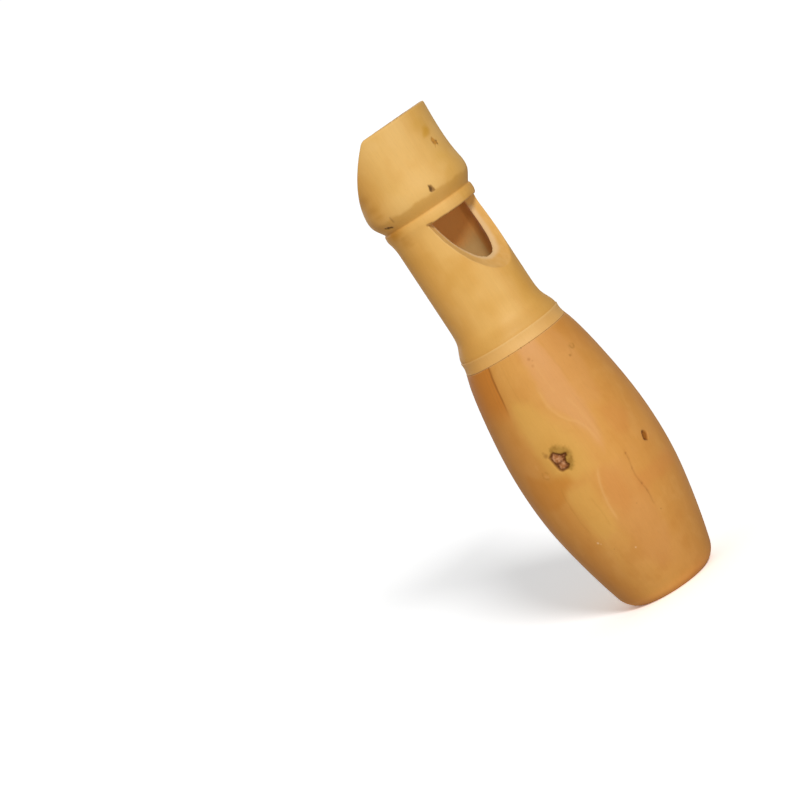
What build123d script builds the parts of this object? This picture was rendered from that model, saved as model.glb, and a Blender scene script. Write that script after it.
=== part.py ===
from build123d import *
import os

os.makedirs("parts", exist_ok=True)

# A turned wooden owl-type bird call: a beaked whistle head that pushes into the
# socket of a closed, pear-shaped resonator body. Millimetres, whistle axis on Z,
# flat base on Z = 0, window towards -Y and beak cut towards +Y.

# ---------------------------------------------------------------- dimensions
LENGTH = 135.0  # flat base to mouth end
JOINT_Z = 72.0  # rim of the body, where the head's shoulder sits

# resonator body: rounded heel, then radius and height up the side
BASE_FLAT_R = 10.3
HEEL_MID = (12.3, 1.5)
BODY_SIDE = [
    (13.75, 4.2),
    (15.03, 9.0),
    (16.93, 17.6),
    (18.47, 26.8),
    (19.13, 37.0),
    (18.81, 47.0),
    (17.66, 57.0),
    (16.33, 65.0),
    (15.17, 70.0),
    (14.53, 72.0),
]
SOCKET_R = 11.35  # one straight boring makes the socket and the chamber
CHAMBER_FLOOR_Z = 9.0
CHAMBER_CORNER_R = 2.5
RIM_BREAK = 0.15  # broken edge of the rim and of the head's shoulder

# mouthpiece head, from the shoulder up
BAND_FOOT_R, BAND_WAIST = 14.50, (14.17, 73.4)
BAND_TOP_R, BAND_TOP_Z = 14.20, 75.2
FLARE = [
    (13.92, 75.2),
    (13.87, 76.0),
    (13.50, 77.0),
    (13.05, 78.0),
    (12.60, 79.0),
    (12.30, 80.0),
    (12.13, 81.2),
    (12.05, 82.6),
    (12.02, 84.5),
]
NECK_R = 12.02
COVE = [(NECK_R, 106.3), (12.06, 107.2), (12.16, 108.1), (12.33, 109.0)]
BEAD = [(12.33, 109.0), (12.57, 109.95), (12.66, 110.35), (12.63, 111.75)]
GROOVE = (12.2, 112.1)
HEAD_SIDE = [
    (12.9, 113.25),
    (13.97, 115.2),
    (14.24, 117.0),
    (13.93, 119.7),
    (13.55, 124.5),
    (13.62, 130.0),
    (13.9, 135.0),
]
BORE_R = 8.95
TENON_R, TENON_FOOT_Z, TENON_LEAD = 11.30, 58.0, 0.6
LAP_GROOVE_R, LAP_FOOT_Z, LAP_TOP_Z = 10.60, 60.2, 69.2

# window: scooped by a crowned cutter whose axis lies along X
WINDOW_TOP_Z = 109.0
SCOOP_Y, SCOOP_Z, SCOOP_R, SCOOP_CROWN_R, SCOOP_HALF = -45.0, 115.5, 41.6, 21.1, 13.0

# beak: flat slanting cut on the side away from the window
BEAK_Y_AT_MOUTH, BEAK_SLOPE = -5.4, 1.034
MOUTH_EDGE_R = 0.45

# block that closes the mouth end and leaves the windway above its flat
BLOCK_R = 8.93
FLAT_Y_AT_MOUTH, FLAT_Y_AT_EXIT = -7.05, -7.68
BLOCK_EDGE = 0.3

# thread lapping on the tenon
THREAD_D, LAP_R, LAP_INNER_R = 0.75, 11.33, 10.62

# ------------------------------------------------------------ resonator body
with BuildPart() as resonator_body:
    with BuildSketch(Plane.XZ):
        with BuildLine():
            Line((0, 0), (BASE_FLAT_R, 0))
            ThreePointArc((BASE_FLAT_R, 0), HEEL_MID, BODY_SIDE[0])
            Spline(*BODY_SIDE)
            Line(BODY_SIDE[-1], (0, JOINT_Z))
            Line((0, JOINT_Z), (0, 0))
        make_face()
    revolve(axis=Axis.Z)
    with BuildSketch(Plane.XZ):
        with BuildLine():
            Line((0, CHAMBER_FLOOR_Z), (SOCKET_R - CHAMBER_CORNER_R, CHAMBER_FLOOR_Z))
            RadiusArc(
                (SOCKET_R - CHAMBER_CORNER_R, CHAMBER_FLOOR_Z),
                (SOCKET_R, CHAMBER_FLOOR_Z + CHAMBER_CORNER_R),
                -CHAMBER_CORNER_R,
            )
            Polyline(
                (SOCKET_R, CHAMBER_FLOOR_Z + CHAMBER_CORNER_R),
                (SOCKET_R, JOINT_Z + 1),
                (0, JOINT_Z + 1),
                (0, CHAMBER_FLOOR_Z),
            )
        make_face()
    revolve(axis=Axis.Z, mode=Mode.SUBTRACT)
    rim = resonator_body.faces().sort_by(Axis.Z)[-1]
    chamfer(rim.edges(), RIM_BREAK)

resonator_body.part.label = "resonator_body"
export_step(resonator_body.part, "parts/resonator_body.step")

# ---------------------------------------------------------- mouthpiece head
with BuildPart() as mouthpiece_head:
    # neck, flare, band and tenon, up to the window's top
    with BuildSketch(Plane.XZ):
        with BuildLine():
            Polyline(
                (0, TENON_FOOT_Z),
                (TENON_R - TENON_LEAD, TENON_FOOT_Z),
                (TENON_R, TENON_FOOT_Z + TENON_LEAD),
                (TENON_R, LAP_FOOT_Z),
                (LAP_GROOVE_R, LAP_FOOT_Z),
                (LAP_GROOVE_R, LAP_TOP_Z),
                (TENON_R, LAP_TOP_Z),
                (TENON_R, JOINT_Z),
                (BAND_FOOT_R - RIM_BREAK, JOINT_Z),
                (BAND_FOOT_R, JOINT_Z + RIM_BREAK),
            )
            ThreePointArc(
                (BAND_FOOT_R, JOINT_Z + RIM_BREAK), BAND_WAIST, (BAND_TOP_R, BAND_TOP_Z)
            )
            Line((BAND_TOP_R, BAND_TOP_Z), FLARE[0])
            Spline(*FLARE)
            Polyline(FLARE[-1], *COVE, (0, WINDOW_TOP_Z), (0, TENON_FOOT_Z))
        make_face()
    revolve(axis=Axis.Z)
    # scooped window through the neck's wall
    with BuildSketch(Plane((0, SCOOP_Y, SCOOP_Z), x_dir=(1, 0, 0), z_dir=(0, 0, 1))):
        with BuildLine():
            edge_r = (
                SCOOP_R - SCOOP_CROWN_R + (SCOOP_CROWN_R**2 - SCOOP_HALF**2) ** 0.5
            )
            ThreePointArc((-SCOOP_HALF, edge_r), (0, SCOOP_R), (SCOOP_HALF, edge_r))
            Polyline(
                (SCOOP_HALF, edge_r),
                (SCOOP_HALF, 0),
                (-SCOOP_HALF, 0),
                (-SCOOP_HALF, edge_r),
            )
        make_face()
    revolve(axis=Axis((0, SCOOP_Y, SCOOP_Z), (1, 0, 0)), mode=Mode.SUBTRACT)
    # bead, groove and head above the window
    with BuildSketch(Plane.XZ):
        with BuildLine():
            Polyline((0, WINDOW_TOP_Z), *BEAD, GROOVE)
            Spline(GROOVE, *HEAD_SIDE)
            Polyline(HEAD_SIDE[-1], (0, LENGTH), (0, WINDOW_TOP_Z))
        make_face()
    revolve(axis=Axis.Z)
    # straight bore, end to end
    with Locations((0, 0, LENGTH)):
        Hole(BORE_R, depth=LENGTH - TENON_FOOT_Z)
    # flat slanting beak
    with BuildSketch(Plane.YZ):
        with BuildLine():
            Polyline(
                (BEAK_Y_AT_MOUTH - BEAK_SLOPE * 2, LENGTH + 2),
                (BEAK_Y_AT_MOUTH + BEAK_SLOPE * 24, LENGTH - 24),
                (BEAK_Y_AT_MOUTH + BEAK_SLOPE * 24, LENGTH + 2),
                close=True,
            )
        make_face()
    extrude(amount=20, both=True, mode=Mode.SUBTRACT)
    # softened edges round the mouth end and the beak
    mouth_edges = mouthpiece_head.edges().filter_by(
        lambda e: (e @ 0.5).Z > 115
        and abs((e @ 0.5).Y - BEAK_Y_AT_MOUTH - BEAK_SLOPE * (LENGTH - (e @ 0.5).Z))
        < 0.01
        and ((e @ 0.5).X ** 2 + (e @ 0.5).Y ** 2) ** 0.5 > BORE_R + 0.5
    ) + mouthpiece_head.edges().filter_by(
        lambda e: (e @ 0.5).Z > LENGTH - 0.01
        and ((e @ 0.5).X ** 2 + (e @ 0.5).Y ** 2) ** 0.5 > 13
        and (e @ 0.5).Y < BEAK_Y_AT_MOUTH - 0.01
    )
    fillet(mouth_edges, MOUTH_EDGE_R)

mouthpiece_head.part.label = "mouthpiece_head"
export_step(mouthpiece_head.part, "parts/mouthpiece_head.step")

# ------------------------------------------------------------- fipple block
with BuildPart() as fipple_block:
    with BuildSketch(Plane.XY.offset(WINDOW_TOP_Z)):
        Circle(BLOCK_R)
    extrude(amount=LENGTH - WINDOW_TOP_Z)
    # the sloping flat under the windway
    with BuildSketch(Plane.YZ):
        with BuildLine():
            Polyline(
                (-BLOCK_R - 1, WINDOW_TOP_Z),
                (FLAT_Y_AT_EXIT, WINDOW_TOP_Z),
                (FLAT_Y_AT_MOUTH, LENGTH),
                (-BLOCK_R - 1, LENGTH),
                close=True,
            )
        make_face()
    extrude(amount=20, both=True, mode=Mode.SUBTRACT)
    # cut flush with the beak
    with BuildSketch(Plane.YZ):
        with BuildLine():
            Polyline(
                (BEAK_Y_AT_MOUTH - BEAK_SLOPE * 2, LENGTH + 2),
                (BEAK_Y_AT_MOUTH + BEAK_SLOPE * 24, LENGTH - 24),
                (BEAK_Y_AT_MOUTH + BEAK_SLOPE * 24, LENGTH + 2),
                close=True,
            )
        make_face()
    extrude(amount=20, both=True, mode=Mode.SUBTRACT)
    # broken edge where the windway leaves the block
    exit_edge = (
        fipple_block.edges()
        .filter_by(Axis.X)
        .filter_by_position(Axis.Z, WINDOW_TOP_Z - 0.1, WINDOW_TOP_Z + 0.1)
    )
    chamfer(exit_edge, BLOCK_EDGE)
    tip_edge = (
        fipple_block.edges()
        .filter_by(Axis.X)
        .filter_by_position(Axis.Z, LENGTH - 0.1, LENGTH + 0.1)
        .sort_by(Axis.Y)[-1]
    )
    fillet(tip_edge, MOUTH_EDGE_R)

fipple_block.part.label = "fipple_block"
export_step(fipple_block.part, "parts/fipple_block.step")

# ------------------------------------------------------------ tenon lapping
turns = int((LAP_TOP_Z - LAP_FOOT_Z) / THREAD_D)
lap_foot = (LAP_TOP_Z + LAP_FOOT_Z) / 2 - turns * THREAD_D / 2
bulge = 0.28  # how far each turn of thread stands out between its neighbours
with BuildPart() as tenon_lapping:
    with BuildSketch(Plane.XZ):
        with BuildLine():
            for k in range(turns):
                z0 = lap_foot + k * THREAD_D
                ThreePointArc(
                    (LAP_R - bulge, z0),
                    (LAP_R, z0 + THREAD_D / 2),
                    (LAP_R - bulge, z0 + THREAD_D),
                )
            Polyline(
                (LAP_R - bulge, lap_foot + turns * THREAD_D),
                (LAP_INNER_R, lap_foot + turns * THREAD_D),
                (LAP_INNER_R, lap_foot),
                (LAP_R - bulge, lap_foot),
            )
        make_face()
    revolve(axis=Axis.Z)

tenon_lapping.part.label = "tenon_lapping"
export_step(tenon_lapping.part, "parts/tenon_lapping.step")
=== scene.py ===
import itertools
import bmesh
import bpy
import numpy as np
from mathutils import Matrix, Vector


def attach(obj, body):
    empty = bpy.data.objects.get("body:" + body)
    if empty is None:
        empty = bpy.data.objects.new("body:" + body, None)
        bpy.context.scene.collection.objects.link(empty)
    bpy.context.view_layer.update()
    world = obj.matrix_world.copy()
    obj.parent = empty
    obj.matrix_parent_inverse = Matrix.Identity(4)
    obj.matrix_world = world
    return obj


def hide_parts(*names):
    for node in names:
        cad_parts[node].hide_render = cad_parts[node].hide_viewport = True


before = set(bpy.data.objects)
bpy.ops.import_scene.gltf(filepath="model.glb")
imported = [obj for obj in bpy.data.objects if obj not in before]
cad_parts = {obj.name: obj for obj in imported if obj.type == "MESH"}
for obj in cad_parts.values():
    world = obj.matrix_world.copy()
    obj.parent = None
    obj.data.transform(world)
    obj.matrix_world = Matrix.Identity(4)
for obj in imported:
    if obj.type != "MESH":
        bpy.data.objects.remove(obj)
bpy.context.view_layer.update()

scene = bpy.context.scene
MM = 0.001

# ------------------------------------------------------- turned shapes, in mm
LENGTH, JOINT_Z = 135.0, 72.0
BASE_FLAT_R, HEEL_MID = 10.3, (12.3, 1.5)
BODY_SIDE = [
    (13.75, 4.2), (15.03, 9.0), (16.93, 17.6), (18.47, 26.8), (19.13, 37.0),
    (18.81, 47.0), (17.66, 57.0), (16.33, 65.0), (15.17, 70.0), (14.53, 72.0),
]
SOCKET_R, CHAMBER_FLOOR_Z, CHAMBER_CORNER_R = 11.35, 9.0, 2.5
FLARE = [
    (13.92, 75.2), (13.87, 76.0), (13.50, 77.0), (13.05, 78.0), (12.60, 79.0), (12.30, 80.0), (12.13, 81.2), (12.05, 82.6), (12.02, 84.5),
]
NECK_R = 12.02
HEAD_SIDE = [
    (12.2, 112.1), (12.9, 113.25), (13.97, 115.2), (14.24, 117.0), (13.93, 119.7),
    (13.55, 124.5), (13.62, 130.0), (13.9, 135.0),
]
BORE_R, WINDOW_TOP_Z = 8.95, 109.0
SCOOP_Y, SCOOP_Z, SCOOP_R, SCOOP_CROWN_R = -45.0, 115.5, 41.6, 21.1
BEAK_Y, BEAK_SLOPE = -5.4, 1.034
TENON_R, TENON_FOOT_Z, LAP_GROOVE_R, LAP_FOOT_Z, LAP_TOP_Z = 11.30, 58.0, 10.60, 60.2, 69.2
LAP_R, LAP_INNER_R, THREAD_D = 11.33, 10.62, 0.75


# ------------------------------------------------------------ shape functions
def spline_through(points, per=16):
    """Smooth curve through the points, as a fine polyline."""
    p = np.array(points, float)
    u = np.concatenate([[0], np.cumsum(np.linalg.norm(np.diff(p, axis=0), axis=1))])
    n = len(p)

    def end_slope(idx):
        x, y = u[idx], p[idx]
        m = len(idx)
        d = y[0] * sum(1 / (x[0] - x[k]) for k in range(1, m))
        for j in range(1, m):
            w = 1 / (x[j] - x[0])
            for k in range(1, m):
                if k != j:
                    w *= (x[0] - x[k]) / (x[j] - x[k])
            d = d + w * y[j]
        return d

    h = np.diff(u)
    dl = np.diff(p, axis=0) / h[:, None]
    a, b = np.zeros((n, n)), np.zeros((n, 2))
    a[0, 0] = a[-1, -1] = 1
    b[0] = end_slope(list(range(4)))
    b[-1] = end_slope(list(range(n - 1, n - 5, -1)))
    for i in range(1, n - 1):
        a[i, i - 1], a[i, i], a[i, i + 1] = h[i], 2 * (h[i - 1] + h[i]), h[i - 1]
        b[i] = 3 * (h[i] * dl[i - 1] + h[i - 1] * dl[i])
    m = np.linalg.solve(a, b)
    out = []
    for i in range(n - 1):
        t = np.linspace(0, 1, per, endpoint=False)[:, None]
        out.append(
            (1 + 2 * t) * (1 - t) ** 2 * p[i]
            + t * (1 - t) ** 2 * h[i] * m[i]
            + t * t * (3 - 2 * t) * p[i + 1]
            + t * t * (t - 1) * h[i] * m[i + 1]
        )
    return np.vstack(out + [p[-1:]])


def arc_through(a, b, c, n=16):
    """Points on the arc from a through b to c."""
    a, b, c = (np.array(v, float) for v in (a, b, c))
    m = 2 * np.array([b - a, c - a])
    o = np.linalg.solve(m, [b @ b - a @ a, c @ c - a @ a])
    ang = np.unwrap([np.arctan2(*(v - o)[::-1]) for v in (a, b, c)])
    t = np.linspace(ang[0], ang[2], n)
    return o + np.linalg.norm(a - o) * np.stack([np.cos(t), np.sin(t)], 1)


def smooth(a, b, x):
    t = np.clip((x - a) / (b - a), 0, 1)
    return t * t * (3 - 2 * t)


def smax(a, b, k):
    h = np.maximum(k - np.abs(a - b), 0) / k
    return np.maximum(a, b) + h * h * k / 4


def noise3(p, seed=0):
    """Seeded value noise, from -1 to 1."""
    i = np.floor(p).astype(np.int64)
    f = p - i
    f = f * f * (3 - 2 * f)
    out = np.zeros(len(p))
    for c in itertools.product((0, 1), repeat=3):
        k = i + np.array(c)
        h = (k[:, 0] * 73856093) ^ (k[:, 1] * 19349663) ^ (k[:, 2] * 83492791) ^ (seed * 7919 + 13)
        h = (h ^ (h >> 13)) * 1274126177 & 0x7FFFFFFF
        v = ((h ^ (h >> 16)) & 0xFFFF) / 32767.5 - 1
        w = np.ones(len(p))
        for ax in range(3):
            w = w * (f[:, ax] if c[ax] else 1 - f[:, ax])
        out += w * v
    return out


def poly_distance(q, poly):
    """Distance from points to a closed outline, negative inside."""
    a = np.array(poly, float)
    b = np.roll(a, -1, axis=0)
    best = np.full(len(q), 1e9)
    inside = np.zeros(len(q), bool)
    for s, e in zip(a, b):
        d = e - s
        t = np.clip(((q - s) @ d) / (d @ d), 0, 1)
        best = np.minimum(best, np.linalg.norm(q - s - t[:, None] * d, axis=1))
        cross = (s[1] > q[:, 1]) != (e[1] > q[:, 1])
        with np.errstate(divide="ignore", invalid="ignore"):
            at = (e[0] - s[0]) * (q[:, 1] - s[1]) / (e[1] - s[1]) + s[0]
        inside ^= cross & (q[:, 0] < at)
    return np.where(inside, -best, best)


def path_distance(q, path):
    """Distance from points to an open line, and how far along it they are, 0 to 1."""
    a = np.array(path, float)
    lengths = np.linalg.norm(np.diff(a, axis=0), axis=1)
    start = np.concatenate([[0], np.cumsum(lengths)])
    best, along = np.full(len(q), 1e9), np.zeros(len(q))
    for k in range(len(a) - 1):
        d = a[k + 1] - a[k]
        t = np.clip(((q - a[k]) @ d) / (d @ d), 0, 1)
        m = np.linalg.norm(q - a[k] - t[:, None] * d, axis=1)
        near = m < best
        best = np.where(near, m, best)
        along = np.where(near, (start[k] + t * lengths[k]) / start[-1], along)
    return best, along


def turn_of(p):
    """Azimuth in degrees, 42 to 402, so that the seam is at the back."""
    return (np.degrees(np.arctan2(p[:, 1], p[:, 0])) - 42) % 360 + 42


def local(p, phi, z, r):
    """Places on the turned surface about (phi, z), as arc length and height in mm."""
    turn = np.arctan2(p[:, 1], p[:, 0]) - np.radians(phi)
    turn = (turn + np.pi) % (2 * np.pi) - np.pi
    return np.stack([turn * r, p[:, 2] - z], 1)


# ------------------------------------------------------------- mesh functions
def refine(co, faces, near, times):
    """Splits the faces near a place into smaller ones."""
    bm = bmesh.new()
    vs = [bm.verts.new(c) for c in co]
    for f in faces:
        bm.faces.new([vs[i] for i in f])
    for _ in range(times):
        bm.edges.ensure_lookup_table()
        mid = np.array([(e.verts[0].co + e.verts[1].co) / 2 for e in bm.edges])
        pick = near(mid)
        bmesh.ops.subdivide_edges(
            bm, edges=[e for e, k in zip(bm.edges, pick) if k], cuts=1, use_grid_fill=True
        )
    bm.verts.index_update()
    co = np.array([v.co for v in bm.verts])
    faces = [[v.index for v in f.verts] for f in bm.faces]
    bm.free()
    return co, faces


def thin_out(co, faces, groups):
    """Joins the places that share a group number."""
    _, at = np.unique(groups, return_inverse=True)
    count = np.bincount(at)
    out = np.stack([np.bincount(at, co[:, k]) / count for k in range(3)], 1)
    kept = []
    for f in faces:
        g = [int(at[i]) for i in f]
        g = [a for a, b in zip(g, g[1:] + g[:1]) if a != b]
        if len(g) >= 3:
            kept.append(g)
    return out, kept


def tidy(co, faces, gap):
    """Joins places closer than the gap and drops the faces that vanish."""
    bm = bmesh.new()
    vs = [bm.verts.new(c) for c in co]
    for f in faces:
        bm.faces.new([vs[i] for i in f])
    bmesh.ops.remove_doubles(bm, verts=bm.verts[:], dist=gap)
    bmesh.ops.dissolve_degenerate(bm, dist=gap, edges=bm.edges[:])
    bm.verts.index_update()
    co = np.array([v.co for v in bm.verts])
    faces = [[v.index for v in f.verts] for f in bm.faces]
    bm.free()
    return co, faces


def make_piece(name, co, faces, attrs):
    mesh = bpy.data.meshes.new(name)
    mesh.from_pydata((co * MM).tolist(), [], faces)
    for key, values in attrs.items():
        layer = mesh.attributes.new(key, "FLOAT", "POINT")
        layer.data.foreach_set("value", np.asarray(values, np.float32))
    mesh.polygons.foreach_set("use_smooth", [True] * len(mesh.polygons))
    mesh.update()
    obj = bpy.data.objects.new(name, mesh)
    scene.collection.objects.link(obj)
    return obj


def vertex_normals(co, faces):
    mesh = bpy.data.meshes.new("normals")
    mesh.from_pydata(co.tolist(), [], faces)
    n = np.zeros(len(co) * 3, np.float32)
    mesh.vertices.foreach_get("normal", n)
    bpy.data.meshes.remove(mesh)
    return n.reshape(-1, 3).astype(float)


def curvature(co, faces):
    """How far each place bulges (over 0) or sinks (under 0), in 1/mm."""
    n = vertex_normals(co, faces)
    edges = set()
    for f in faces:
        for a, b in zip(f, f[1:] + f[:1]):
            edges.add((a, b) if a < b else (b, a))
    e = np.array(sorted(edges))
    d = co[e[:, 0]] - co[e[:, 1]]
    c = np.sum((n[e[:, 0]] - n[e[:, 1]]) * d, axis=1) / np.maximum(np.sum(d * d, axis=1), 1e-6)
    count = np.maximum(np.bincount(e.ravel(), minlength=len(co)), 1)
    for _ in range(3):
        v = (np.bincount(e[:, 0], c, len(co)) + np.bincount(e[:, 1], c, len(co))) / count
        c = (v[e[:, 0]] + v[e[:, 1]]) / 2
    return v


def lathe(rows):
    """Mesh of revolution from (radius, height, vertices in the ring)."""
    co, faces, first = [], [], []
    for r, z, n in rows:
        first.append(len(co))
        if r == 0:
            co.append((0, 0, z))
        else:
            t = np.arange(n) * 2 * np.pi / n
            co.extend(np.stack([r * np.cos(t), r * np.sin(t), np.full(n, z)], 1).tolist())
    for k in range(len(rows) - 1):
        (ra, _, na), (rb, _, nb) = rows[k], rows[k + 1]
        a, b = first[k], first[k + 1]
        if ra == 0:
            faces += [[a, b + (j + 1) % nb, b + j] for j in range(nb)]
        elif rb == 0:
            faces += [[a + j, a + (j + 1) % na, b] for j in range(na)]
        elif na == nb:
            faces += [[a + j, a + (j + 1) % na, b + (j + 1) % nb, b + j] for j in range(na)]
        elif na == 2 * nb:
            for j in range(nb):
                i0, i1, i2, j1 = a + 2 * j, a + 2 * j + 1, a + (2 * j + 2) % na, b + (j + 1) % nb
                faces += [[i0, i1, b + j], [i1, j1, b + j], [i1, i2, j1]]
        else:
            for j in range(na):
                i1, j0, j1, j2 = a + (j + 1) % na, b + 2 * j, b + 2 * j + 1, b + (2 * j + 2) % nb
                faces += [[a + j, j1, j0], [a + j, i1, j1], [i1, j2, j1]]
    return np.array(co, float), faces


def net_surface(f, rn, nt, zn):
    """Closed mesh of f = 0 on a grid of rings: f[i, j, k] at radius rn[i], turn j of nt and height zn[k]."""
    inside = f < 0
    ni, nj, nk = f.shape
    shape = (ni - 1, nj, nk - 1)
    acc, hits = np.zeros(shape + (3,)), np.zeros(shape)
    quads, crossings = [], []
    f1, s1 = np.roll(f, -1, axis=1), np.roll(inside, -1, axis=1)
    for axis in range(3):
        if axis == 0:
            fa, fb, sa, sb = f[:-1], f[1:], inside[:-1], inside[1:]
        elif axis == 1:
            fa, fb, sa, sb = f, f1, inside, s1
        else:
            fa, fb, sa, sb = f[:, :, :-1], f[:, :, 1:], inside[:, :, :-1], inside[:, :, 1:]
        cross = sa != sb
        with np.errstate(divide="ignore", invalid="ignore"):
            t = np.where(cross, fa / (fa - fb), 0)
        crossings.append((cross, sa))
        others = [k for k in range(3) if k != axis]
        for d0, d1 in itertools.product((0, 1), repeat=2):
            d = {others[0]: d0, others[1]: d1}
            c, tt = cross, t
            for ax, s in d.items():
                if ax == 1:
                    c, tt = (np.roll(c, -s, axis=1), np.roll(tt, -s, axis=1)) if s else (c, tt)
                elif ax == 0:
                    c, tt = (c[s:], tt[s:]) if s else (c[:-1], tt[:-1])
                else:
                    c, tt = (c[:, :, s:], tt[:, :, s:]) if s else (c[:, :, :-1], tt[:, :, :-1])
            hits += c
            acc[..., axis] += np.where(c, tt, 0)
            for ax, s in d.items():
                acc[..., ax] += c * s
    live = hits > 0
    ids = np.full(shape, -1)
    ids[live] = np.arange(live.sum())
    cell = np.stack(np.nonzero(live), 1)
    i, j, k = cell.T
    frac = acc[live] / hits[live][:, None]
    r = rn[i] + frac[:, 0] * (rn[i + 1] - rn[i])
    t = (j + frac[:, 1]) * 2 * np.pi / nt
    z = zn[k] + frac[:, 2] * (zn[k + 1] - zn[k])
    co = np.stack([r * np.cos(t), r * np.sin(t), z], 1)
    steps = {
        0: [(0, -1, -1), (0, 0, -1), (0, 0, 0), (0, -1, 0)],
        1: [(-1, 0, -1), (-1, 0, 0), (0, 0, 0), (0, 0, -1)],
        2: [(-1, -1, 0), (0, -1, 0), (0, 0, 0), (-1, 0, 0)],
    }
    for axis, (cross, sa) in enumerate(crossings):
        i, j, k = np.nonzero(cross)
        out = sa[i, j, k]
        q = np.stack([ids[i + a, (j + b) % nj, k + c] for a, b, c in steps[axis]], 1)
        q[~out] = q[~out][:, ::-1]
        quads.append(q)
    return co, np.vstack(quads).tolist(), cell


def settle(field, co, times=6):
    """Moves places onto field = 0 along its slope."""
    h = 0.004
    for _ in range(times):
        f = field(co)
        g = np.stack([(field(co + d) - field(co - d)) / (2 * h) for d in np.eye(3) * h], 1)
        step = f / np.maximum(np.sum(g * g, axis=1), 0.15)
        co = co - np.clip(step, -0.3, 0.3)[:, None] * g
    return co, g / np.maximum(np.linalg.norm(g, axis=1), 1e-6)[:, None]


# ------------------------------------------------------------ growth rings
# The wood's rings bend to one side where they pass the big knot.
BEND_Z = [0, 12, 23.6, 27.6, 32.8, 38.6, 43.4, 46.7, 50.4, 53.2, 56.1, 59.6, 62.9, 66.5, 72, 90, 112, 140]
BEND_PHI = [217, 216, 214, 212.3, 214.7, 224.9, 231, 231.6, 227.6, 221.6, 216.6, 216.4, 217.7, 219.9, 222, 220, 217, 221]
PITH_PHI, PITH_AWAY = 131.0, 30.0


def bend(z):
    fine = np.linspace(0, 140, 1401)
    raw = np.interp(fine, BEND_Z, BEND_PHI)
    k = np.exp(-np.linspace(-2.5, 2.5, 41) ** 2)
    soft = np.convolve(np.pad(raw, 20, mode="edge"), k / k.sum(), "valid")
    return np.interp(z, fine, soft) - 218


def ring_of(p, outside_r, size, knot):
    """Distance from the pith in mm, with the outside of the turning brought to one radius."""
    phi, z = turn_of(p), p[:, 2]
    left = smooth(172, 212, phi) * 1.5 - 0.5 if knot else 1.0
    back = smooth(395, 325, phi) * smooth(70, 130, phi)
    phi = phi - bend(z) * left * back
    r = size * np.hypot(p[:, 0], p[:, 1]) / outside_r
    return np.sqrt(r * r + PITH_AWAY**2 - 2 * r * PITH_AWAY * np.cos(np.radians(phi - PITH_PHI)))


# ------------------------------------------------------------ resonator body
side = spline_through(BODY_SIDE, 40)
heel = arc_through((BASE_FLAT_R, 0), HEEL_MID, BODY_SIDE[0], 24)
skin = np.vstack([heel[:-1], side])


def body_radius(z):
    return np.interp(z, skin[:, 1], skin[:, 0])


# marks on the body: place (turn in degrees, height, radius) and outline in mm
KNOT_AT = (200.5, 44.0, 19.0)
KNOT_RIM = [
    (-1.83, 1.79), (-1.02, 2.4), (-0.3, 2.53), (0.5, 1.88), (1.32, 1.27), (2.52, 1.02),
    (2.4, 0.5), (1.93, 0.34), (1.47, -0.58), (1.45, -1.31), (1.8, -1.81), (1.21, -2.36),
    (0.38, -2.48), (-0.66, -2.43), (-1.12, -1.96), (-1.37, -0.94), (-1.6, 0.36),
]
KNOT_HALO = [
    (-0.8, 3.3), (-0.2, 3.9), (0.8, 4.2), (2.07, 3.34), (3.56, 1.94), (3.97, 0.28), (3.47, -1.18),
    (2.61, -2.74), (1.62, -3.34), (0.6, -2.4), (0.6, 0.2), (-0.6, 2.2),
]
HOLE_AT = (269.0, 37.2, 19.13)
HOLE_RIM = [
    (0.12, 1.32), (0.53, 1.21), (1.21, 0.77), (1.56, 0.15), (1.43, -0.47), (0.94, -1.02), (0.39, -1.44),
    (-0.09, -1.35), (-0.72, -0.98), (-0.94, -0.64), (-0.8, 0.01), (-0.49, 0.71), (-0.2, 1.14),
]
CRACK_AT = (245.0, 29.0, 18.6)
CRACK = [
    (0.3, 9.3), (0.32, 7.8), (0.18, 6.2), (-0.29, 4.7), (-0.42, 3.2), (-0.47, 0.6), (-0.21, -0.7), (0.0, -2.4),
    (0.03, -4.1), (-0.07, -6.1), (0.06, -7.8), (0.34, -8.9),
]
# broad figure of the wood and fine lines in it: turn in degrees and height in mm
PINK_ZONE = [
    (220, 76), (217.5, 67), (215.5, 61), (216, 57), (219, 54), (223.5, 51.5), (228, 48), (230, 44), (233, 40),
    (237, 42), (240, 47), (241.5, 53), (243, 60), (242.5, 66), (242.5, 76),
]
BLUSH_ZONE = [(240, 78), (264, 78), (265, 60), (258, 52), (250, 50), (242, 53)]
GOLD_ZONE = [
    (183, 56), (186.5, 63), (196, 62), (208, 59), (216, 53), (222, 49), (224, 44), (222, 39), (214, 37), (204, 38), (196, 40),
    (188, 43), (184, 49),
]
LOW_GOLD_ZONE = [(189, 38), (196, 37), (206, 36.5), (213, 36), (212, 30), (211, 25), (206, 22), (196, 21), (190, 24), (187.5, 30)]
ROSY_ZONE = [(214, 30), (225, 37), (240, 36), (247, 27), (246, 16), (236, 8), (222, 7), (213, 13)]
EMBER_ZONE = [(217, 37), (224, 37), (232, 34), (234, 28), (228, 24), (218, 24), (215.5, 29)]
WARM_ZONE = [(240, 31), (262, 31.5), (287, 31), (287, 27), (262, 26.5), (240, 27)]
DEEP_ZONE = [(248, 50), (262, 49.5), (268, 44), (258, 40.5), (248, 42)]
FAR_GOLD = [
    [(70, 62), (84, 66), (96, 60), (100, 48), (96, 34), (88, 24), (78, 26), (72, 40), (68, 52)],
    [(358, 60), (376, 64), (384, 50), (380, 34), (368, 22), (358, 30), (354, 46)],
]
FAR_PINK = [
    [(104, 78), (119, 78), (120, 60), (126, 48), (124, 36), (114, 30), (108, 40), (106, 56)],
    [(330, 78), (346, 78), (350, 58), (344, 44), (350, 30), (342, 18), (332, 22), (334, 40), (328, 56)],
]
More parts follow.
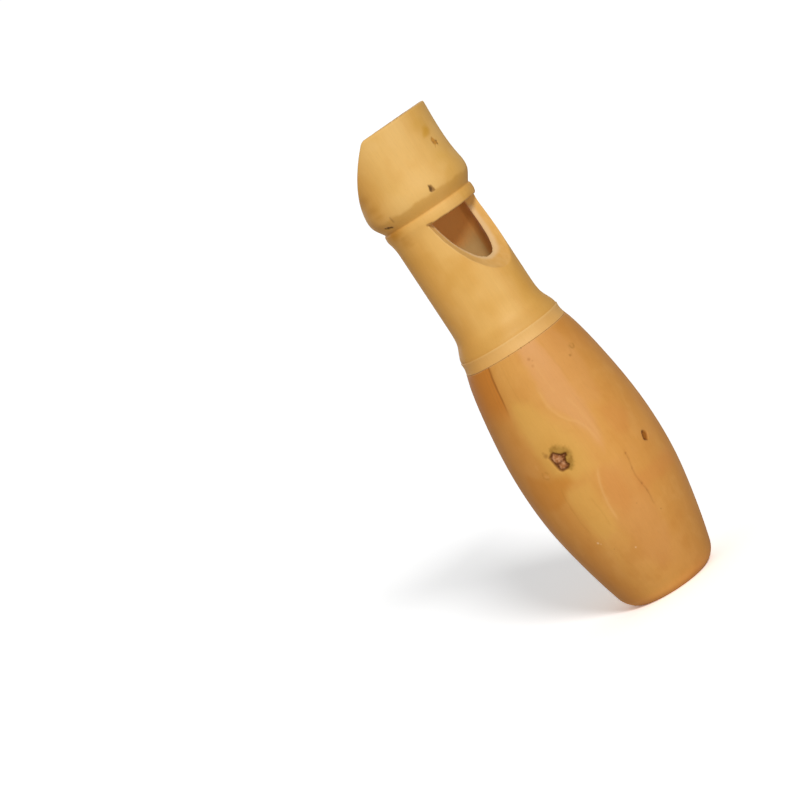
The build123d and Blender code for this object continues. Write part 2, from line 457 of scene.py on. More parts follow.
FAR_ROSY = [[(300, 24), (316, 30), (322, 18), (312, 8), (298, 10)], [(112, 20), (130, 24), (136, 12), (120, 6)], [(386, 24), (397, 22), (396, 8), (384, 8)]]
RUST_ZONE = [
    (166, 45), (178, 42.6), (184, 41.2), (192, 40.6), (200, 40.2), (201, 38), (193, 36.2), (185, 34), (174, 33), (164, 34), (158, 40),
]
WEDGE_EDGE = [(185.2, 76), (184.7, 67), (183.7, 62.5), (182.2, 58), (180.0, 52)]
PALE_LINES = [
    ([(216.4, 63), (216, 58), (217, 55.5), (220, 53.3), (224, 51.4), (228, 50.2), (231.5, 48), (233.5, 45), (234.5, 42)], 0.45),
    ([(223.3, 38.4), (219.5, 36.3), (216.5, 33.5), (214.8, 30.5), (213.6, 27.5), (213.8, 23.5)], 0.65),
    ([(226.5, 68), (225.6, 63), (226.8, 58)], 0.2), ([(231.5, 57), (234.5, 53), (236.5, 47), (236.5, 43)], 0.3),
    ([(184.6, 42.7), (184.2, 42.1), (187.0, 41.8)], 0.45), ([(181.2, 46.0), (180.5, 45.2), (181.2, 44.4)], 0.4),
    ([(104, 70), (105, 58), (108, 46), (112, 34), (115, 28)], 0.5), ([(352, 64), (350, 54), (346, 44), (350, 32)], 0.45),
]
FAINT_LINES = [
    ([(190.8, 39), (188.2, 36), (187.2, 32), (186.6, 28), (187.8, 23.5)], 0.55), ([(242.6, 72), (242.3, 66), (243, 58)], 0.22),
    ([(205.5, 33), (206.6, 28), (206.0, 23)], 0.35), ([(184.2, 43.6), (182.4, 43.0), (181.8, 42.1), (183.6, 41.5), (187.1, 41.3)], 1.0),
    ([(185.2, 43.4), (186.6, 43.0), (187.4, 42.4)], 0.9), ([(262.2, 66.6), (261.0, 64.4), (258.6, 63.6), (256.6, 63.9)], 0.4),
    ([(238.4, 56), (239.6, 50), (239.2, 44)], 0.2), ([(198.5, 72), (197.6, 66), (198.4, 60)], 0.3),
    ([(180.5, 73), (180.0, 66), (178.5, 60)], 0.6), ([(176.5, 73), (176.0, 66), (174.5, 59)], 0.5),
    ([(66, 60), (70, 48), (71, 36), (74, 24)], 0.6), ([(388, 62), (386, 48), (382, 34), (384, 20)], 0.5), ([(326, 66), (330, 50), (330, 36), (334, 22)], 0.5),
    ([(92, 70), (97, 56), (99, 44), (96, 30), (90, 20)], 0.45),
]
CRACK_SPOTS = [(0.32, 7.75, 0.24), (-0.38, 3.75, 0.17), (-0.24, -0.7, 0.3)]


def to_flat(points):
    return [((phi - 218) * 0.32, z) for phi, z in points]


def unrolled(p):
    return np.stack([(turn_of(p) - 218) * 0.32, p[:, 2]], 1)


def build_body():
    n = 192
    rows = [(0, 0.0, 1)] + [(r, 0.0, m) for r, m in ((2.5, 48), (5.0, 48), (7.5, 96), (9.2, n), (10.0, n))]
    # outside, from the heel to the rim, at even steps along the outline
    length = np.concatenate([[0], np.cumsum(np.linalg.norm(np.diff(skin, axis=0), axis=1))])
    marks = np.concatenate([
        np.arange(0, 6, 0.35), np.arange(6, length[-1] - 1.2, 0.66), length[-1] - np.array([1.1, 0.75, 0.5, 0.33, 0.22])
    ])
    for m in marks:
        rows.append((np.interp(m, length, skin[:, 0]), np.interp(m, length, skin[:, 1]), n))
    rows += [
        (14.545, 71.96, n), (14.53, 71.988, n), (14.50, 71.998, n), (14.40, 72.0, n),
        (12.9, 72.0, n), (11.55, 72.0, n), (11.42, 71.97, n), (11.36, 71.88, n),
        (SOCKET_R, 71.5, 96), (SOCKET_R, 65.0, 96), (SOCKET_R, 50.0, 96), (SOCKET_R, 30.0, 96),
    ]
    corner = arc_through(
        (SOCKET_R, CHAMBER_FLOOR_Z + CHAMBER_CORNER_R),
        (SOCKET_R - CHAMBER_CORNER_R * (1 - 0.70711), CHAMBER_FLOOR_Z + CHAMBER_CORNER_R * (1 - 0.70711)),
        (SOCKET_R - CHAMBER_CORNER_R, CHAMBER_FLOOR_Z), 7,
    )
    rows += [(r, z, 96) for r, z in corner]
    rows += [(5.0, CHAMBER_FLOOR_Z, 48), (0, CHAMBER_FLOOR_Z, 1)]
    co, faces = lathe(rows)

    def near(p, reach=0.0):
        outer = np.hypot(p[:, 0], p[:, 1]) > 13.0
        k = poly_distance(local(p, *KNOT_AT), KNOT_RIM) < 0.8 + reach
        k |= poly_distance(local(p, *HOLE_AT), HOLE_RIM) < 0.5 + reach
        k |= path_distance(local(p, *CRACK_AT), CRACK)[0] < 0.4 + reach
        spread = unrolled(p)
        for path, _ in PALE_LINES + FAINT_LINES:
            k |= path_distance(spread, to_flat(path))[0] < 0.55
        k |= path_distance(spread, to_flat(WEDGE_EDGE))[0] < 0.5
        return k & outer

    co, faces = refine(co, faces, lambda p: near(p, 0.6), 1)
    co, faces = refine(co, faces, lambda p: near(p, 0.0), 1)
    outer = (np.hypot(co[:, 0], co[:, 1]) > 13.0) & (co[:, 2] > 5) & (co[:, 2] < 71.5)
    scale = (body_radius(co[outer, 2]) - 0.003) / np.hypot(co[outer, 0], co[outer, 1])
    co[outer, :2] *= scale[:, None]
    base = co.copy()
    nrm = vertex_normals(co, faces)
    outer = (np.hypot(co[:, 0], co[:, 1]) > 13.0).astype(float)

    rough = noise3(base * 2.2, 3) * 0.6 + noise3(base * 5.0, 4) * 0.4
    q = local(base, *KNOT_AT)
    sd = poly_distance(q, KNOT_RIM) + 0.10 * rough
    rim = np.exp(-np.abs((sd + 0.14) / 0.33) ** 2.4)
    core = smooth(0.05, -0.45, sd)
    depth = 0.42 * rim + core * (0.16 + 0.10 * rough) + 0.05 * np.exp(-((sd / 0.9) ** 2))
    dark = np.clip(rim * (0.95 + 0.25 * rough), 0, 1)
    # a darker band across the knot, and torn fibres at its corners
    d, along = path_distance(q, [(-1.3, -0.7), (-0.6, -0.42), (0.1, -0.42), (0.55, -0.25)])
    split = 0.78 * np.exp(-(((d + 0.12 * rough) / 0.38) ** 2)) * core
    dark = np.maximum(dark, split)
    depth += 0.12 * split
    for x, y, w, a in (
        (2.05, 0.75, 0.40, 1.0), (1.35, -1.75, 0.42, 1.0), (0.7, 1.45, 0.34, 1.0), (1.42, 0.55, 0.42, 1.0), (1.25, -0.2, 0.36, 1.0),
        (-1.25, 1.75, 0.30, 0.8), (-1.1, -1.1, 0.45, 0.85), (-1.05, -0.45, 0.42, 0.7), (0.2, 1.75, 0.3, 0.8),
    ):
        d = np.hypot(q[:, 0] - x, q[:, 1] - y)
        dark = np.maximum(dark, a * np.exp(-((d / w) ** 2)))
        depth += 0.16 * np.exp(-((d / w) ** 2))
    halo = smooth(0.35, -0.3, poly_distance(q, KNOT_HALO) + 0.18 * noise3(base * 0.9, 9))
    # the wider ground of the knot, a little darker and greener than the wood
    far = np.hypot((q[:, 0] - 0.6) / 1.15, q[:, 1] - 0.2)
    ground = np.exp(-((far / 4.2) ** 2))

    q = local(base, *HOLE_AT)
    sd = poly_distance(q, HOLE_RIM) + 0.04 * rough
    well = smooth(0.10, -0.30, sd)
    depth += 0.45 * well
    lip = np.exp(-(((sd + 0.28) / 0.36) ** 2)) * smooth(1.1, -0.1, q[:, 0] - 0.25 * q[:, 1])
    dark = np.maximum(dark, 0.8 * lip)

    q = local(base, *CRACK_AT)
    q[:, 0] += 0.13 * noise3(base * np.array([0.6, 0.6, 0.9]), 21) + 0.05 * noise3(base * 2.4, 22)
    d, along = path_distance(q, CRACK)
    gape = smooth(0.0, 0.12, along) * smooth(1.0, 0.72, along) * (0.72 + 0.28 * noise3(base * np.array([0.3, 0.3, 1.1]), 23))
    crack = np.exp(-((d / 0.24) ** 2)) * np.clip(gape, 0, 1)
    depth += 0.07 * crack
    for x, y, w in CRACK_SPOTS:
        spot = np.exp(-((np.hypot(q[:, 0] - x, (q[:, 1] - y) * 0.7) / w) ** 2))
        crack = np.maximum(crack, 1.5 * spot)
        depth += 0.10 * spot

    # figure
    q = unrolled(base)
    wander = 0.7 * noise3(base * 0.22, 31) + 0.35 * noise3(base * 0.6, 32)
    pink = smooth(0.9, -1.5, poly_distance(q, to_flat(PINK_ZONE)) + wander)
    pink = np.maximum(pink, 0.45 * smooth(1.5, -1.5, poly_distance(q, to_flat(BLUSH_ZONE)) + wander))
    gold = smooth(1.6, -2.6, poly_distance(q, to_flat(GOLD_ZONE)) + 1.5 * wander)
    gold = np.maximum(gold, 0.75 * smooth(1.2, -1.6, poly_distance(q, to_flat(LOW_GOLD_ZONE)) + wander))
    for zone in FAR_PINK:
        pink = np.maximum(pink, 0.7 * smooth(1.2, -1.8, poly_distance(q, to_flat(zone)) + wander))
    for zone in FAR_GOLD:
        gold = np.maximum(gold, 0.8 * smooth(1.6, -2.4, poly_distance(q, to_flat(zone)) + 1.5 * wander))
    rosy = smooth(1.8, -2.4, poly_distance(q, to_flat(ROSY_ZONE)) + 1.6 * wander)
    ember = smooth(1.2, -1.6, poly_distance(q, to_flat(EMBER_ZONE)) + wander)
    for zone in FAR_ROSY:
        rosy = np.maximum(rosy, smooth(1.8, -2.4, poly_distance(q, to_flat(zone)) + 1.6 * wander))
    for zone in (WARM_ZONE, DEEP_ZONE):
        ember = np.maximum(ember, 1.3 * smooth(1.2, -1.6, poly_distance(q, to_flat(zone)) + wander))
    rust = smooth(0.9, -1.2, poly_distance(q, to_flat(RUST_ZONE)) + wander)
    at = np.interp(base[:, 2], [z for _, z in WEDGE_EDGE[::-1]], [phi for phi, _ in WEDGE_EDGE[::-1]])
    past = (turn_of(base) - at) * 0.29 + 0.12 * noise3(base * np.array([1, 1, 0.35]), 33)
    front = smooth(120, 150, turn_of(base))
    wedge = smooth(0.25, -0.25, past) * smooth(56, 64, base[:, 2]) * front
    wedge_edge = np.exp(-(((past + 0.12) / 0.26) ** 2)) * smooth(58, 64.5, base[:, 2])
    sway = np.stack([0.10 * noise3(base * 0.9, 34), 0 * wander], 1)
    pale = np.zeros(len(base))
    for path, weight in PALE_LINES:
        d, along = path_distance(q + sway, to_flat(path))
        pale = np.maximum(pale, weight * np.exp(-((d / 0.34) ** 2)) * smooth(0, 0.15, along) * smooth(1, 0.85, along))
    faint = np.zeros(len(base))
    for path, weight in FAINT_LINES:
        d, along = path_distance(q + sway, to_flat(path))
        faint = np.maximum(faint, weight * np.exp(-((d / 0.25) ** 2)) * smooth(0, 0.15, along) * smooth(1, 0.85, along))

    co = base - nrm * (depth * outer)[:, None]
    skin_r = np.maximum(body_radius(np.clip(base[:, 2], 0, 72)), 0.1)
    attrs = {
        "dark": dark * outer, "core": core * outer, "halo": halo * outer, "ground": ground * outer,
        "hole": well * outer, "crack": crack * outer, "curve": curvature(base, faces),
        "ring": ring_of(base, skin_r, 19.0, True), "pink": pink * outer, "gold": gold * outer, "ember": ember * outer,
        # painted shade: a darker, warmer tone on the side turned from the light
        "rust": rust * outer, "rosy": rosy * outer, "away_side_shade": smooth(196, 170, turn_of(base)) * smooth(90, 130, turn_of(base)) * outer,
        "wedge": wedge * outer, "wedge_edge": wedge_edge * outer, "pale": pale * outer, "faint": faint * outer,
        "inner": smooth(13.2, 12.4, np.hypot(base[:, 0], base[:, 1])) * (base[:, 2] > 3),
    }
    return make_piece("pear_body", co, faces, attrs)


# ---------------------------------------------------------- mouthpiece head
band = arc_through((14.50, 72.15), (14.17, 73.4), (14.20, 75.2), 24)
head_skin = np.vstack([
    [(14.53, 71.0)], [(14.53, 72.0)], band[1:-2], [(14.20, 75.09), (14.16, 75.18), (13.94, 75.25)],
    spline_through(FLARE, 12)[3:],
    [(NECK_R, 106.3), (12.06, 107.2), (12.16, 108.1), (12.33, 109.0), (12.46, 109.5), (12.58, 109.95), (12.65, 110.35), (12.66, 110.7)],
    [(12.65, 111.2), (12.61, 111.66), (12.48, 111.93), (12.30, 112.05), (12.22, 112.12)],
    spline_through(HEAD_SIDE, 24)[3:], [(13.98, 136.5)],
])
HZ = np.arange(71.0, 136.5, 0.01)
HR = np.interp(HZ, head_skin[:, 1], head_skin[:, 0])
HC = 1 / np.sqrt(1 + np.clip(np.gradient(HR, HZ), -2.5, 2.5) ** 2)


def head_parts(p):
    x, y, z = p.T
    r = np.hypot(x, y)
    outside = (r - np.interp(z, HZ, HR)) * np.interp(z, HZ, HC)
    beak = (y - BEAK_Y - BEAK_SLOPE * (LENGTH - z)) / np.hypot(1, BEAK_SLOPE)
    crown = SCOOP_R - SCOOP_CROWN_R + np.sqrt(np.maximum(SCOOP_CROWN_R**2 - x**2, 1))
    scoop = (crown - np.hypot(y - SCOOP_Y, z - SCOOP_Z)) * 0.93
    lip = WINDOW_TOP_Z - z
    # the knife left the edges of the window a little uneven
    k = (y < -4) & (z > 91) & (z < 111) & (scoop > -1.5)
    if k.any():
        q = p[k]
        scoop[k] += 0.05 * noise3(q * 0.55, 5) + 0.02 * noise3(q * 1.7, 6)
        lip[k] += 0.09 * noise3(q * np.array([0.9, 0.3, 0.05]), 7) + 0.05 * noise3(q * np.array([2.6, 1.0, 0.1]), 8)
    return r, z, outside, beak, np.minimum(scoop, lip)


def head_field(p):
    r, z, outside, beak, window = head_parts(p)
    top = smax(smax(outside, z - LENGTH, 0.55), beak, 0.55)
    top = smax(top, JOINT_Z - z, 0.05)
    groove = np.interp(
        z, [LAP_FOOT_Z - 0.04, LAP_FOOT_Z + 0.04, LAP_TOP_Z - 0.04, LAP_TOP_Z + 0.04],
        [TENON_R, LAP_GROOVE_R, LAP_GROOVE_R, TENON_R],
    )
    lead = np.minimum(groove, TENON_R - (TENON_FOOT_Z + 0.6 - z))
    tenon = smax(np.maximum((r - lead) * 0.8, z - 72.6), TENON_FOOT_Z - z, 0.15)
    f = smax(np.minimum(top, tenon), BORE_R - r, 0.14)
    return smax(f, window, 0.20 + 0.28 * smooth(108.2, 108.9, z))


PIT_AT = (236.3, 116.5, 14.2)
PIT_DARK = [(-0.2, 0.8), (0.1, 0.5), (0.28, 0.0), (0.2, -0.45), (-0.1, -0.8), (-0.34, -0.78), (-0.36, -0.36), (-0.24, 0.14)]
PIT_WIDE = [(-0.18, 1.02), (0.58, 0.6), (0.86, -0.44), (0.9, -1.02), (0.26, -1.14), (-0.32, -1.02), (-0.6, -0.52), (-0.36, 0.12)]
CHECK_AT = (170.0, 113.6, 13.1)
CHECK_DOTS = [(-1.1, 0.28, 0.32, 0.9), (-0.6, 0.02, 0.32, 1.0), (-0.12, 0.06, 0.42, 1.0), (0.36, -0.08, 0.32, 1.0), (0.85, -0.22, 0.36, 1.0)]
LINE_AT = (182.0, 114.8, 13.8)
LINE = [(0.56, 1.35), (0.36, 0.7), (0.27, 0.02), (0.14, -0.5), (0.05, -1.1)]
EYE_AT = (272.8, 125.2, 13.53)
EYE = [
    (0.15, 1.46), (0.45, 0.79), (0.72, 0.17), (1.13, 0.01), (0.94, -0.88), (0.23, -0.74), (-0.21, -0.88),
    (-0.82, -1.33), (-0.47, -0.71), (-0.74, -0.31), (-0.78, 0.49), (-0.51, 1.04),
]
STAIN_AT = (269.7, 128.6, 13.56)
STAIN = [(-0.14, 0.9), (1.13, 1.0), (1.72, -0.08), (1.01, -0.88), (-0.71, -1.3), (-1.54, -1.08), (-1.18, -0.16)]


def build_head():
    nt = 160
    rn = np.arange(8.65, 15.0, 0.30)
    zn = np.concatenate([
        np.arange(57.55, 60.0, 0.45), np.arange(60.0, 60.5, 0.12), np.arange(60.7, 69.0, 1.2), np.arange(69.0, 69.5, 0.12),
        np.arange(69.7, 71.6, 0.5), np.arange(71.75, 75.8, 0.22), np.arange(75.85, 80.6, 0.4), np.arange(81.0, 93.0, 1.0),
        np.arange(93.1, 108.4, 0.6), np.arange(108.5, 114.2, 0.22), np.arange(114.3, 135.8, 0.65),
    ])
    t = np.arange(nt) * 2 * np.pi / nt
    g = np.stack(np.meshgrid(rn, t, zn, indexing="ij"), -1)
    p = np.stack([g[..., 0] * np.cos(g[..., 1]), g[..., 0] * np.sin(g[..., 1]), g[..., 2]], -1)
    f = head_field(p.reshape(-1, 3)).reshape(p.shape[:3])
    co, faces, cell = net_surface(f, rn, nt, zn)
    co, _ = settle(head_field, co, 4)
    # the plain bore needs fewer faces
    r, z, outside, beak, window = head_parts(co)
    plain = (r < 9.2) & (z > 59) & (window < -1.2) & (z < 134) & (beak < -1.5)
    group = np.arange(len(co))
    group[plain] = len(co) + (cell[plain, 1] // 3) * 1000 + cell[plain, 2] // 4
    co, faces = thin_out(co, faces, group)

    def near(q, reach=0.0):
        r, z, outside, beak, window = head_parts(q)
        rim = (np.abs(window) < 0.45 + reach) & (z < 109.6) & (z > 90) & (q[:, 1] < -3)
        rim &= (np.abs(outside) < 0.45 + reach) | (np.abs(BORE_R - r) < 0.35 + reach) | (np.abs(z - 109) < 0.4)
        out = np.abs(outside) < 0.5
        k = poly_distance(local(q, *PIT_AT), PIT_WIDE) < 0.35 + reach
        k |= np.hypot(*local(q, *CHECK_AT).T) < 1.3 + reach
        k |= path_distance(local(q, *LINE_AT), LINE)[0] < 0.35 + reach
        k |= np.hypot(*local(q, 213.0, 109.35, 12.4).T) < 1.2
        k |= poly_distance(local(q, *EYE_AT), EYE) < 0.3 + reach
        mouth = (z > 114.5) & (np.abs(outside) < 0.3 + reach) & ((np.abs(beak) < 0.3 + reach) | (np.abs(z - LENGTH) < 0.3 + reach))
        return rim | (k & out) | (mouth & (reach > 0))

    co, faces = refine(co, faces, lambda q: near(q, 0.3), 1)
    co, _ = settle(head_field, co, 3)
    co, faces = refine(co, faces, lambda q: near(q, 0.0), 1)
    co, _ = settle(head_field, co, 3)
    co, faces = tidy(co, faces, 0.012)
    base, n = settle(head_field, co, 1)
    r, z, outside, beak, window = head_parts(base)
    out = smooth(0.25, 0.1, np.abs(outside))

    rough = noise3(base * 2.2, 13) * 0.6 + noise3(base * 5.0, 14) * 0.4
    q = local(base, *PIT_AT)
    sd = poly_distance(q, PIT_DARK) + 0.05 * rough
    pit = smooth(0.16, -0.12, sd)
    wide = smooth(0.22, -0.25, poly_distance(q, PIT_WIDE) + 0.08 * rough)
    depth = 0.24 * pit + 0.10 * wide
    q = local(base, *CHECK_AT)
    check = np.zeros(len(base))
    for x, y, w, a in CHECK_DOTS:
        d = np.hypot((q[:, 0] - x), (q[:, 1] - y) * 1.25)
        check = np.maximum(check, a * np.exp(-((d / w) ** 2)))
    depth += 0.35 * check
    d, along = path_distance(local(base, *LINE_AT), LINE)
    line = np.exp(-((d / 0.25) ** 2)) * smooth(0.0, 0.2, along) * smooth(1.0, 0.7, along)
    depth += 0.10 * line
    d, along = path_distance(local(base, 213.0, 109.35, 12.4), [(-0.6, 0.06), (0.3, 0.0), (1.1, -0.1)])
    nick = np.exp(-((d / 0.24) ** 2)) * smooth(0.0, 0.25, along)
    depth += 0.06 * nick
    q = local(base, *EYE_AT)
    eye = smooth(0.22, -0.25, poly_distance(q, EYE) + 0.08 * rough)
    spot = np.exp(-((np.hypot(q[:, 0] - 0.98, q[:, 1] + 0.1) / 0.25) ** 2))
    spot += np.exp(-((np.hypot(q[:, 0] - 0.75, q[:, 1] + 0.83) / 0.25) ** 2))
    depth += 0.08 * eye + 0.12 * spot
    stain = smooth(0.8, -0.5, poly_distance(local(base, *STAIN_AT), STAIN) + 0.25 * noise3(base * 0.8, 19))
    # deeper colour round the check and on the bead below it, and painted shade under the lip at the right of the window
    amber_and_lip_shade = np.zeros(len(base))
    for phi, at, wide_, high, weight in (
        (167, 111.3, 2.9, 1.5, 1.0), (176, 108.4, 2.2, 1.2, 0.42), (155, 115.0, 2.5, 2.0, 0.5), (166, 119.4, 2.6, 1.2, 0.55), (172, 117.2, 1.8, 0.7, 0.4), (160, 122.5, 2.5, 1.5, 0.5),
        # the first mark on this line is painted shade under the lip
        (278.0, 108.2, 2.3, 1.1, 1.0), (176, 109.6, 1.8, 0.9, 0.5), (182, 107.4, 1.6, 0.5, 0.35),
    ):
        q = local(base, phi, at, 13.0)
        amber_and_lip_shade = np.maximum(amber_and_lip_shade, weight * np.exp(-((np.hypot(q[:, 0] / wide_, q[:, 1] / high) + 0.25 * noise3(base * 0.8, 41)) ** 2)))
    sunny = np.zeros(len(base))
    for phi, at, wide_, high, weight in ((270, 121.6, 2.6, 2.0, 1.0), (276, 124.0, 1.4, 1.6, 0.7), (266, 131.0, 2.5, 1.2, 0.5), (262, 94.0, 2.5, 1.2, 0.5)):
        q = local(base, phi, at, 13.5)
        sunny = np.maximum(sunny, weight * np.exp(-(np.hypot(q[:, 0] / wide_, q[:, 1] / high) ** 2)))
    # painted shade under the bulge, and a peachy tone to one side
    wavy = 0.35 * noise3(base * np.array([0.5, 0.5, 0.2]), 42) + 0.2 * noise3(base * 1.3, 43)
    under = smooth(115.7, 114.9, z + wavy) * smooth(111.9, 112.5, z)
    turn = turn_of(base)
    peach = smooth(204, 165, turn) * smooth(60, 120, turn)
    # pale inner edge of the window
    strip = 1.0 + 0.6 * smooth(1.0, 4.0, base[:, 0])
    edge_in = smooth(-0.5, -0.05, window) * smooth(1.05, 0.45, np.abs(r - BORE_R) / strip) * smooth(109.1, 108.7, z)
    edge_in *= 1 - smooth(0.5, 2.0, base[:, 0]) * smooth(106.3, 107.5, z)
    # shaded lower edge of the bead, over the window
    lip_edge = np.exp(-(((z - 109.1) / 0.28) ** 2)) * smooth(-0.5, -0.2, window) * smooth(-1.6, -0.6, outside)
    # painted shade in the bore: a warmer, deeper tone above the slanting line where the lip's shadow falls, and a
    # darker strip along one side where the light only grazes
    far = np.degrees(np.arctan2(base[:, 1], base[:, 0]))
    lip_shadow_tone = smooth(-0.5, 0.5, z - 100.3 + far * 0.017 + 0.2 * noise3(base * 0.7, 44))
    seam = smooth(-6, -14, far) * smooth(-90, -60, far)
    depth *= out
    co = base - n * depth[:, None]
    cut = smooth(-0.16, -0.03, window) * smooth(-0.03, -0.2, outside) * (z < 109.3)
    raw = smooth(9.45, 9.1, r)
    attrs = {
        "dark": np.maximum(pit * 0.66, check) * out, "brown": np.clip(wide * 0.85 + line * 0.4 + nick * 0.6, 0, 1) * out, "eye": eye * out,
        "spot": np.clip(spot, 0, 1) * out, "stain": stain * out, "amber_and_lip_shade": amber_and_lip_shade * (z > 72), "cut": cut, "raw": raw,
        "sunny": sunny * out, "under": under * out, "peach": peach, "edge_in": edge_in, "lip_edge": lip_edge, "lip_shadow_tone": lip_shadow_tone * raw, "seam": seam * raw,
        "curve": curvature(base, faces), "ring": ring_of(base, np.interp(z, HZ, HR), 14.0, False),
        "tenon": smooth(72.05, 71.85, z),
    }
    return make_piece("turned_head", co, faces, attrs)


# ------------------------------------------------------------ tenon lapping
def build_lapping():
    per, ring_n, turns = 72, 8, 12
    count = per * turns
    s = np.arange(count + 1) / per
    ang = s * 2 * np.pi
    lo, hi = LAP_FOOT_Z + THREAD_D / 2, LAP_TOP_Z - THREAD_D / 2
    wave = 0.03 * np.sin(ang * 0.37) + 0.02 * np.sin(ang * 1.31 + 1)
    z = np.clip(lo + (hi - lo) * s / turns + wave, lo + 0.01, hi - 0.01)
    thin = np.minimum(smooth(-0.02, 0.06, s), smooth(turns + 0.02, turns - 0.06, s)) * 0.85 + 0.15
    half = (LAP_R - LAP_INNER_R) / 2 - 0.002
    mid = (LAP_R + LAP_INNER_R) / 2
    a = np.arange(ring_n) * 2 * np.pi / ring_n
    co, ply = [], []
    for k in range(count + 1):
        twist = ang[k] * mid / 1.1
        grow = thin[k] * (1 - 0.07 * (0.5 + 0.5 * np.cos(2 * (a - twist))))
        r = mid + half * grow * np.cos(a)
        co.append(np.stack([r * np.cos(ang[k]), r * np.sin(ang[k]), z[k] + 0.37 * grow * np.sin(a)], 1))
        # the grooves between the plies, darkened in the finish as painted shade
        ply.append(0.5 + 0.5 * np.cos(2 * (a - twist)))
    co = np.vstack(co)
    faces = []
    for k in range(count):
        for j in range(ring_n):
            b, c = k * ring_n, (k + 1) * ring_n
            faces.append([b + j, c + j, c + (j + 1) % ring_n, b + (j + 1) % ring_n])
    faces.append([j for j in range(ring_n)])
    faces.append([count * ring_n + j for j in range(ring_n)][::-1])
    return make_piece("thread_winding", co, faces, {"ply": np.concatenate(ply)})


# ------------------------------------------------------------------ finishes
def lin(r, g, b):
    c = np.array([r, g, b]) / 255.0
    v = np.where(c <= 0.04045, c / 12.92, ((c + 0.055) / 1.055) ** 2.4)
    return (float(v[0]), float(v[1]), float(v[2]), 1.0)


def at_turn(phi, z, r):
    """A place in metres from its azimuth, height and radius in mm."""
    return (r * np.cos(np.radians(phi)) * MM, r * np.sin(np.radians(phi)) * MM, z * MM)


class Finish:
    """A material, with short names for the nodes that it is made of."""

    def __init__(self, name):
        self.mat = bpy.data.materials.new(name)
        self.mat.use_nodes = True
        self.tree = self.mat.node_tree
        self.bsdf = self.tree.nodes["Principled BSDF"]
        coord = self.tree.nodes.new("ShaderNodeTexCoord")
        self.place = coord.outputs["Object"]
        split = self.new("ShaderNodeSeparateXYZ")
        self.put(split.inputs[0], coord.outputs["Object"])
        self.z = split.outputs["Z"]
        split = self.new("ShaderNodeSeparateXYZ")
        self.put(split.inputs[0], coord.outputs["Normal"])
        self.nz = self.calc("ABSOLUTE", split.outputs["Z"])

    def new(self, kind, **props):
        node = self.tree.nodes.new(kind)
        for key, value in props.items():
            setattr(node, key, value)
        return node

    def put(self, socket, value):
        if isinstance(value, bpy.types.NodeSocket):
            self.tree.links.new(value, socket)
        else:
            socket.default_value = value

    def attr(self, name):
        return self.new("ShaderNodeAttribute", attribute_name=name).outputs["Fac"]

    def calc(self, op, a, b=0.0):
        node = self.new("ShaderNodeMath", operation=op)
        self.put(node.inputs[0], a)
        self.put(node.inputs[1], b)
        return node.outputs[0]

    def span(self, value, a, b, c=0.0, d=1.0):
        node = self.new("ShaderNodeMapRange", interpolation_type="SMOOTHSTEP")
        for key, v in zip(("Value", "From Min", "From Max", "To Min", "To Max"), (value, a, b, c, d)):
            self.put(node.inputs[key], v)
        return node.outputs["Result"]

    def blend(self, fac, a, b, kind="MIX"):
        node = self.new("ShaderNodeMix", data_type="RGBA", blend_type=kind)
        self.put(node.inputs[0], fac)
        self.put(node.inputs[6], a)
        self.put(node.inputs[7], b)
        return node.outputs[2]

    def ramp(self, value, stops):
        node = self.new("ShaderNodeValToRGB")
        bar = node.color_ramp
        while len(bar.elements) < len(stops):
            bar.elements.new(0.5)
        for el, (at, colour) in zip(bar.elements, stops):
            el.position = at
        for el, (at, colour) in zip(bar.elements, stops):
            el.color = colour
        self.put(node.inputs["Fac"], value)
        return node.outputs["Color"]

    def noise(self, scale, detail=2.0, rough=0.5, stretch=(1, 1, 1), shift=(0, 0, 0), warp=0.0):
        at = self.new("ShaderNodeMapping")
        at.inputs["Scale"].default_value = stretch
        at.inputs["Location"].default_value = shift
        self.put(at.inputs["Vector"], self.place)
        node = self.new("ShaderNodeTexNoise")
        self.put(node.inputs["Vector"], at.outputs["Vector"])
        for key, v in (("Scale", scale), ("Detail", detail), ("Roughness", rough), ("Distortion", warp)):
            node.inputs[key].default_value = v
        return node.outputs["Fac"]

    def shade(self, colour, amount):
        node = self.new("ShaderNodeVectorMath", operation="SCALE")
        self.put(node.inputs[0], colour)
        self.put(node.inputs["Scale"], amount)
        return node.outputs[0]

    def dot(self, point, radius, soft=0.5):
        """1 at a place, falling to 0 at the radius in mm."""
        node = self.new("ShaderNodeVectorMath", operation="DISTANCE")
        self.put(node.inputs[0], self.place)
        node.inputs[1].default_value = point
        return self.span(node.outputs["Value"], radius * soft * MM, radius * MM, 1.0, 0.0)

    def bump(self, height, strength, distance):
        node = self.new("ShaderNodeBump")
        node.inputs["Strength"].default_value = strength
        node.inputs["Distance"].default_value = distance
        self.put(node.inputs["Height"], height)
        if self.bsdf.inputs["Normal"].is_linked:
            self.put(node.inputs["Normal"], self.bsdf.inputs["Normal"].links[0].from_socket)
        self.put(self.bsdf.inputs["Normal"], node.outputs["Normal"])


